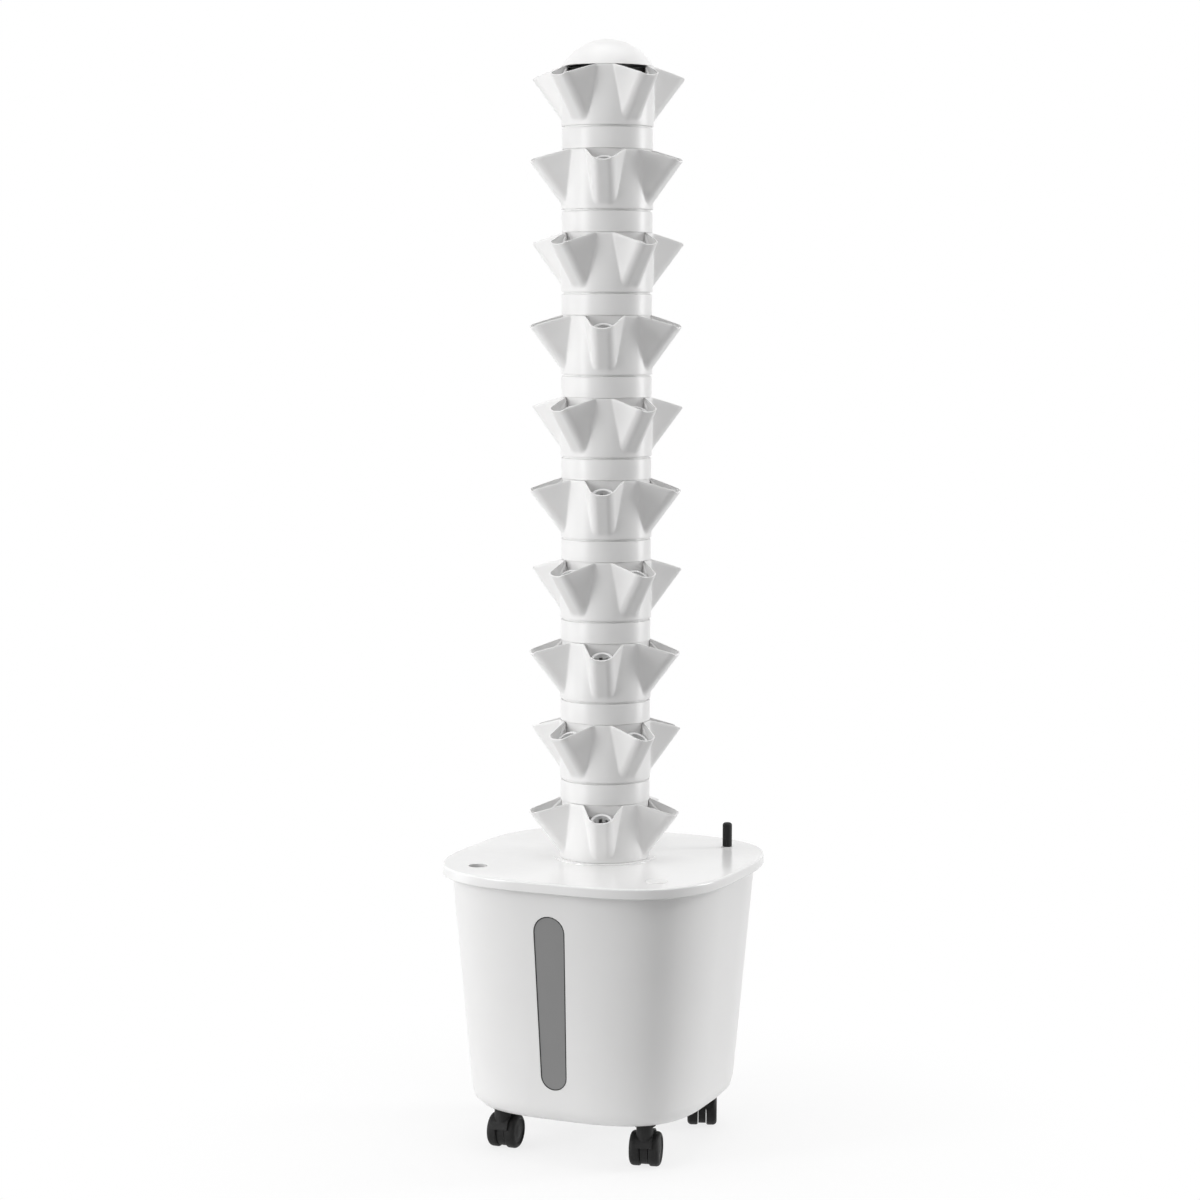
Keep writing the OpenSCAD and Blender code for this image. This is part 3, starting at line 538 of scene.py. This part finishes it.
def nose(phi, z, inset):
    r = NOSE_R - inset
    rise = (z - RISE) * SIN
    across, along = math.sin(phi), math.cos(phi) * COS
    front = (CORNER_U + r + rise) / along
    if front * across <= NOSE_HALF:
        return front
    u, v = CORNER_U + r * END_COS, NOSE_HALF + r * END_SIN
    flank = (u * END_COS + v * END_SIN + rise * END_COS) / (along * END_COS + across * END_SIN)
    if flank * along - rise <= u:
        return flank
    shift = rise + CORNER_U
    a = along * along + across * across
    b = along * shift + across * NOSE_HALF
    c = shift * shift + NOSE_HALF * NOSE_HALF - r * r
    return (b + math.sqrt(max(b * b - a * c, 0))) / a


print("a pocket's tip reaches", round(nose(0, RING_H - LIP_DROP, 0), 1), "mm")

# %% [markdown]
# Where a pocket leaves the ring, the mould has a small fillet. A bevel can't follow that edge, because
# it fades out at the ledge. A soft maximum of the two walls gives the fillet, and it grows with the height.
# The lip is a plane that falls from the ring's top to the pocket's tip, scooped a little in its middle.

# %% Tier walls
FILLET_OUT, FILLET_IN, FILLET_GROWTH = 2.5, 2, 0.3


def soft_max(a, b, reach):
    if reach <= 0 or abs(a - b) >= reach:
        return max(a, b)
    part = (reach - abs(a - b)) / reach
    return max(a, b) + part * part * reach / 4


def outside(phi, z):
    return soft_max(RING_R, nose(phi, z, 0), min(FILLET_OUT, FILLET_GROWTH * z))


def inside(phi, z, inset):
    return soft_max(RING_IN, nose(phi, z, inset), min(FILLET_IN, FILLET_GROWTH * z))


def lip_plane(phi, r):
    out = max(0, r - RING_R) / (TIP_R - RING_R)
    scoop = max(0, 1 - (r * math.sin(phi) / SCOOP_W) ** 2)
    return RING_H - out * (LIP_DROP + SCOOP * scoop)


print("the lip's scoop at the tip is", round(RING_H - LIP_DROP - lip_plane(0, TIP_R), 1), "mm deep")

# %% [markdown]
# The underside of a tier and the collar round its tray's hole are the same at every angle.
# They could be turned as meshes of their own, but a real tier is one closed skin of plastic, two or three
# millimetres thick. So their sections are plain lists of radii and heights that every column shares.

# %% Tier sections
SOFT, EDGE = 0.4, 0.7
HOLE_R, COLLAR_R, COLLAR_H = 13, 15, 9
GROOVE_R, GROOVE_H = SPIGOT_R - 1, 2.6
UNDER = [
    (HOLE_R, 0), (SPIGOT_IN - SOFT, 0), (SPIGOT_IN, -SOFT),
    (SPIGOT_IN, -SKIRT_H + 0.6), (SPIGOT_IN + 0.6, -SKIRT_H),
    (SPIGOT_R - 0.8, -SKIRT_H), (SPIGOT_R, -SKIRT_H + 0.8),
    (SPIGOT_R, -BARREL_H), (BARREL_R - 0.5, -BARREL_H), (BARREL_R, -BARREL_H + 0.5),
    (BARREL_R, -4.2), (BARREL_R - 0.1, -3.6), (BARREL_R - 0.5, -3.1),
    (GROOVE_R, -GROOVE_H), (GROOVE_R, 0), (RING_R - EDGE, 0), (RING_R - 0.2, 0.2),
]
OVER = [
    (COLLAR_R, TRAY_T), (COLLAR_R, COLLAR_H - SOFT), (COLLAR_R - SOFT, COLLAR_H),
    (HOLE_R + SOFT, COLLAR_H), (HOLE_R, COLLAR_H - SOFT),
]
print(len(UNDER) + len(OVER), "points in the plain sections")

# %% [markdown]
# One column of a tier runs from the tray's hole out under the tray, down the spigot, up the barrel,
# over the ledge, up the pocket, round the lip, down the inside past the cup's seat and back to the hole.
# The height where the wall meets the lip could be solved on paper for each part of the nose.
# Halving a range until it is tiny finds it too. It is shorter, and it works for every shape of wall.

# %% Tier column
LIP = [(0.1, 0.3), (0.3, 0.05), (0.7, 0.05), (0.9, 0.3)]
SEAT_STEP, SEAT_DROP, FOOT_Z, FOOT_INSET = 0.2, 0.6, 4.0, 1.2
WALL_ROWS, CROWDING, LIP_ROWS, POCKET_ROWS = 26, 1.25, 6, 12
LIP_LOWEST, SEAT_LOWEST, HALVINGS = 20, 10, 30


def meet(low, high, above):
    for step in range(HALVINGS):
        middle = (low + high) / 2
        low, high = (low, middle) if above(middle) else (middle, high)
    return low


def heights(start, end, rows, crowding=1):
    return [start + (end - start) * (i / rows) ** crowding for i in range(rows + 1)]


def tier_column(phi):
    top = meet(LIP_LOWEST, RING_H, lambda z: z > lip_plane(phi, outside(phi, z))) - EDGE
    wall = [(outside(phi, z), z) for z in heights(EDGE, top, WALL_ROWS, CROWDING)]
    far, near = wall[-1][0], inside(phi, top, LIP_T)
    across = [(far + (near - far) * part, dip) for part, dip in LIP]
    lip = [(r, lip_plane(phi, r) - dip) for r, dip in across]
    start = lip_plane(phi, near) - EDGE
    seat = min(start - SEAT_DROP, meet(
        SEAT_LOWEST, start,
        lambda z: inside(phi, z, LIP_T) * math.cos(phi) * SIN + (z - RISE) * COS > CUP_SEAT))
    above = [(inside(phi, z, LIP_T), z) for z in heights(start, seat, LIP_ROWS)]
    below = [(inside(phi, z, POCKET_T), z) for z in heights(seat - SEAT_STEP, FOOT_Z, POCKET_ROWS)]
    foot = [(below[-1][0] - FOOT_INSET, TRAY_T)]
    return UNDER + wall + lip + above + below + foot + OVER


print(len(tier_column(0)), "points in a column")

# %% [markdown]
# The columns stand close together round a pocket's corners, where the wall turns most, and further apart
# on the plain ring. Even steps would be simpler, but the same corners would need half as many columns again.
# Five small stop lugs inside the ring carry the next tier's skirt, as plain blocks in the same mesh.

# %% Tier mesh
POCKET_TURN = 360 / POCKETS
LUG, LUG_HALF = [(58.4, 44), (58.4, 65.4), (59, 66), (63.6, 66), (63.6, 44)], 5


def steps(start, step, count):
    return [start + step * i for i in range(1, count + 1)]


half = [0, 1.5, 3, 4] + steps(4, 0.6, 17) + steps(14.2, 0.9, 14) + [29, 31.5, 34, 36]
angles = [-a for a in half[-2:0:-1]] + half
shapes = {a: tier_column(math.radians(abs(a))) for a in set(angles)}
columns = []
for pocket in range(POCKETS):
    for a in angles:
        t = math.radians(POCKET_TURN * pocket + a)
        columns.append([(r * math.cos(t), r * math.sin(t), z) for r, z in shapes[a]])
points, faces = skin(columns)

n = len(LUG)
for pocket in range(POCKETS):
    spin = Matrix.Rotation(math.radians(POCKET_TURN * (pocket + 0.5)), 3, "Z")
    base = len(points)
    points += [tuple(spin @ Vector((r, y, z))) for y in (-LUG_HALF, LUG_HALF) for r, z in LUG]
    faces += [(base + i, base + (i + 1) % n, base + n + (i + 1) % n, base + n + i) for i in range(n)]
    faces += [tuple(base + i for i in range(n))[::-1], tuple(base + n + i for i in range(n))]
tier_mesh = make_mesh("tier", points, faces, sharp=34)
print("tier mesh has", len(tier_mesh.polygons), "faces")

# %% [markdown]
# On the real tower every second tier is turned by half a pocket, so that the plants have room to grow.
# An array modifier could stack the tiers, but each has to turn on its own joint.
# So ten objects share the mesh, and each rides on its own body.

# %% Place the tiers
FIRST_POCKET, HALF_TURN = 20 - 90, POCKET_TURN / 2


def tier_place(k):
    spin = math.radians(FIRST_POCKET + (HALF_TURN if k % 2 == 0 else 0))
    return Matrix.Translation((0, 0, (SEAT_Z + (k - 1) * PITCH) * MM)) @ Matrix.Rotation(spin, 4, "Z")


for k in range(1, TIERS + 1):
    add_piece(f"planter_tier_{k}", tier_mesh, white, f"tier_{k}", f"tier_{k}", tier_place(k))
print(TIERS, "tiers of", POCKETS, "pockets")

# %% [markdown]
# ## Net cups
# A net cup holds a seedling's plug and lets the roots and the water through its slots.
# It could be a cone with a solidify modifier, but the rim would need a second piece.
# So the shell's section is one loop: out from the drain, up the outside, round the rim and down the inside.

# %% Cup shell
CUP_RIM, CUP_BODY, CUP_FOOT, DRAIN_R = 17.04, 14.84, 11, 5
CUP_H, CUP_T, RIM_T = 44, 1.4, 1.6
CUP_ROWS = [-CUP_H, -40, -31, -27, -18, -14, -5, 0]


def cup_wall(z):
    return CUP_FOOT + (CUP_BODY - CUP_FOOT) * (z + CUP_H) / CUP_H


def cup_shell():
    floor_z, lap, bore = CUP_T - CUP_H, CUP_RIM - SOFT, CUP_BODY - CUP_T
    outer = [(cup_wall(z), z) for z in CUP_ROWS]
    rim = [
        (lap, 0), (CUP_RIM, SOFT), (CUP_RIM, RIM_T - SOFT), (lap, RIM_T),
        (bore + 0.5, RIM_T), (bore, RIM_T - SOFT),
    ]
    inner = [(cup_wall(z) - CUP_T, max(z, floor_z)) for z in CUP_ROWS[::-1]]
    loop = [(DRAIN_R, -CUP_H)] + outer + rim + inner + [(DRAIN_R, floor_z)]
    return loop


print(len(cup_shell()), "points in a cup's section")

# %% [markdown]
# The slots could be cut with booleans, but fifty cups would take long, and the cuts leave ragged meshes.
# Here some quads of the shell are left out, inside and outside alike, and small faces close
# the four sides of each gap. Three rows of eight slots go round a cup.

# %% Cup slots
SLOTS, SIDES, SLOT_EVERY, SLOT_SIDES = (1, 3, 5), 48, 6, 3


def cup_mesh():
    loop = cup_shell()
    rows = len(loop)
    last = rows - 2
    turns = [2 * math.pi * i / SIDES for i in range(SIDES)]
    ring = [[(r * math.cos(t), r * math.sin(t), z) for r, z in loop] for t in turns]
    open_rows = [1 + s for s in SLOTS] + [last - 1 - s for s in SLOTS]
    gaps = {(i, a) for i in range(SIDES) if i % SLOT_EVERY < SLOT_SIDES for a in open_rows}
    points, faces = skin(ring, gaps)
    for s in SLOTS:
        o0, o1, n0, n1 = 1 + s, 2 + s, last - s, last - s - 1
        for i in range(0, SIDES, SLOT_EVERY):
            left, right = i * rows, (i + SLOT_SIDES) % SIDES * rows
            faces.append((left + o0, left + n0, left + n1, left + o1))
            faces.append((right + o0, right + o1, right + n1, right + n0))
            for j in range(SLOT_SIDES):
                a, b = (i + j) * rows, (i + j + 1) % SIDES * rows
                faces += [(a + o0, b + o0, b + n0, a + n0), (a + o1, a + n1, b + n1, b + o1)]
    return points, faces


points, faces = cup_mesh()
print(len(SLOTS) * SIDES // SLOT_EVERY, "slots in a cup")

# %% [markdown]
# Each cup hangs by its rim on the seat in a pocket and leans with it. Five cups are put together in one mesh,
# because the CAD has them as one node on each tier, and that mesh is shared by all the tiers.

# %% Place the cups
CUP_PLAY = 0.3
CUP_U = RING_R * COS - LIP_T - CUP_PLAY - CUP_RIM
in_pocket = (
    Matrix.Translation((0, 0, RISE)) @ Matrix.Rotation(LEAN, 4, "Y") @ Matrix.Translation((CUP_U, 0, CUP_SEAT))
)
all_points, all_faces = [], []
for pocket in range(POCKETS):
    spin = Matrix.Rotation(math.radians(POCKET_TURN * pocket), 4, "Z") @ in_pocket
    base = len(all_points)
    all_points += [tuple(spin @ Vector(p)) for p in points]
    all_faces += [tuple(base + i for i in f) for f in faces]
cups = make_mesh("net_cups", all_points, all_faces, sharp=45)
for k in range(1, TIERS + 1):
    add_piece(f"cups_{k}", cups, cup_white, f"tier_{k}", f"net_cups_{k}", tier_place(k))
print("cup mesh has", len(cups.polygons), "faces")

# %% [markdown]
# ## Floor
# The tower stands on a white studio floor that runs out of the picture and keeps only a soft shadow.
# A floor could be lit to white, but so much light would also burn out the white plastic.
# So the floor looks white by itself to a camera, a mirror or a glass ray, which `seen` picks out,
# and is a plain floor to all other light. It darkens for that light further out,
# so that it doesn't throw too much of it back at the tank from below.

# %% Floor finish
SHADOW_KEPT, SHADOW_FADE, LIGHT_FADE = 0.2, (0.25, 0.8), (0.2, 0.6)


def seen(graph):
    rays = ("Camera", "Glossy", "Transmission")
    eye, mirror, glass = [graph.node("ShaderNodeLightPath", {}, {}, f"Is {ray} Ray") for ray in rays]
    return graph.maths("MAXIMUM", eye, graph.maths("MAXIMUM", mirror, glass))


def smooth(graph, value, start, end):
    settings = {"interpolation_type": "SMOOTHSTEP"}
    return graph.node("ShaderNodeMapRange", settings, {0: value, 1: start, 2: end})


floor_paint = Paint("floor", Roughness=0.9)
glow = floor_paint.node("ShaderNodeEmission", {}, {"Color": (1, 1, 1, 1), "Strength": 1.0})
matte = Wire(floor_paint, floor_paint.shader.outputs[0])
to_eye = seen(floor_paint)
far_off = floor_paint.node("ShaderNodeVectorMath", {"operation": "LENGTH"}, {0: floor_paint.place()}, "Value")
fade, dim = smooth(floor_paint, far_off, *SHADOW_FADE), smooth(floor_paint, far_off, *LIGHT_FADE)
floor_paint.colour(to_eye, floor_paint.between(dim, grey(0.85), grey(0.38)), grey(0.87))
glowing = to_eye * (1 - SHADOW_KEPT + SHADOW_KEPT * fade)
mixed = floor_paint.node("ShaderNodeMixShader", {}, {0: glowing, 1: matte, 2: glow})
floor_paint.feed(floor_paint.tree.nodes["Material Output"].inputs["Surface"], mixed)
print("floor finish with", len(floor_paint.tree.nodes), "nodes")

# %% [markdown]
# The floor itself is one large square. A curved studio backdrop would work too, but only from one side.
# A square that is far larger than the picture fades into the white world from every side.
# It is part of the stage and not of the tower, so it rides on no body.

# %% Floor
FLOOR_HALF = 30

floor_mesh = bpy.data.meshes.new("floor")
corners = [(x * FLOOR_HALF, y * FLOOR_HALF, 0) for x, y in ((-1, -1), (1, -1), (1, 1), (-1, 1))]
floor_mesh.from_pydata(corners, [], [(0, 1, 2, 3)])
floor_mesh.materials.append(floor_paint.material)
floor = bpy.data.objects.new("floor", floor_mesh)
scene.collection.objects.link(floor)
print("floor", floor.dimensions[:])

# %% [markdown]
# ## Lamps
# White plastic needs lamps on several sides, or its edges vanish into the white background.
# One bright sky would show the colours but no form. Here two tall lamps, on the left and a little behind
# on the right, draw the bright rims of the tank and the tiers. A wide one in front and a wider one overhead
# fill the faces and the lid, and two small ones near the tower lift the tank's left side and the upper tiers.
# They are area lamps, because a large lamp gives the soft edges that satin plastic shows in a studio.

# %% Lamps
AIM = Vector((0, 0, 0.8))


def lamp(name, azimuth, height, distance, size, watts):
    data = bpy.data.lights.new(name, "AREA")
    data.shape = "RECTANGLE"
    data.size, data.size_y = size
    data.energy = watts
    obj = bpy.data.objects.new(name, data)
    scene.collection.objects.link(obj)
    a = math.radians(azimuth)
    obj.location = (distance * math.cos(a), distance * math.sin(a), height)
    obj.rotation_euler = (AIM - obj.location).to_track_quat("-Z", "Y").to_euler()


lamp("left", azimuth=232, height=1.5, distance=4.0, size=(1.0, 3.0), watts=79)
lamp("left_low", azimuth=200, height=0.9, distance=1.5, size=(0.8, 1.6), watts=7)
lamp("right", azimuth=33, height=1.5, distance=4.0, size=(0.9, 3.0), watts=86)
lamp("front", azimuth=293, height=6.0, distance=3.5, size=(4.0, 4.0), watts=44)
lamp("upper", azimuth=330, height=2.4, distance=1.5, size=(0.8, 0.8), watts=3.7)
lamp("top", azimuth=100, height=7.0, distance=0.3, size=(5.0, 5.0), watts=185)
print(len(bpy.data.lights), "lamps")

# %% [markdown]
# ## World
# The background of a product picture is pure white, but a world as bright as that would flatten the tower.
# A white wall behind the tower could give it too. It is simpler to let the world be white only where it is
# seen, and to give off about a quarter of that as light. The Standard view shows each colour as written.

# %% World
SKY_LIGHT = 0.264

scene.world = bpy.data.worlds.new("world")
sky = Graph(scene.world, "Background")
sky.feed(sky.shader.inputs["Color"], (1, 1, 1, 1))
sky.feed(sky.shader.inputs["Strength"], 1 - (1 - SKY_LIGHT) * (1 - seen(sky)))
scene.view_settings.view_transform = "Standard"
print("a white sky that lights at", SKY_LIGHT)
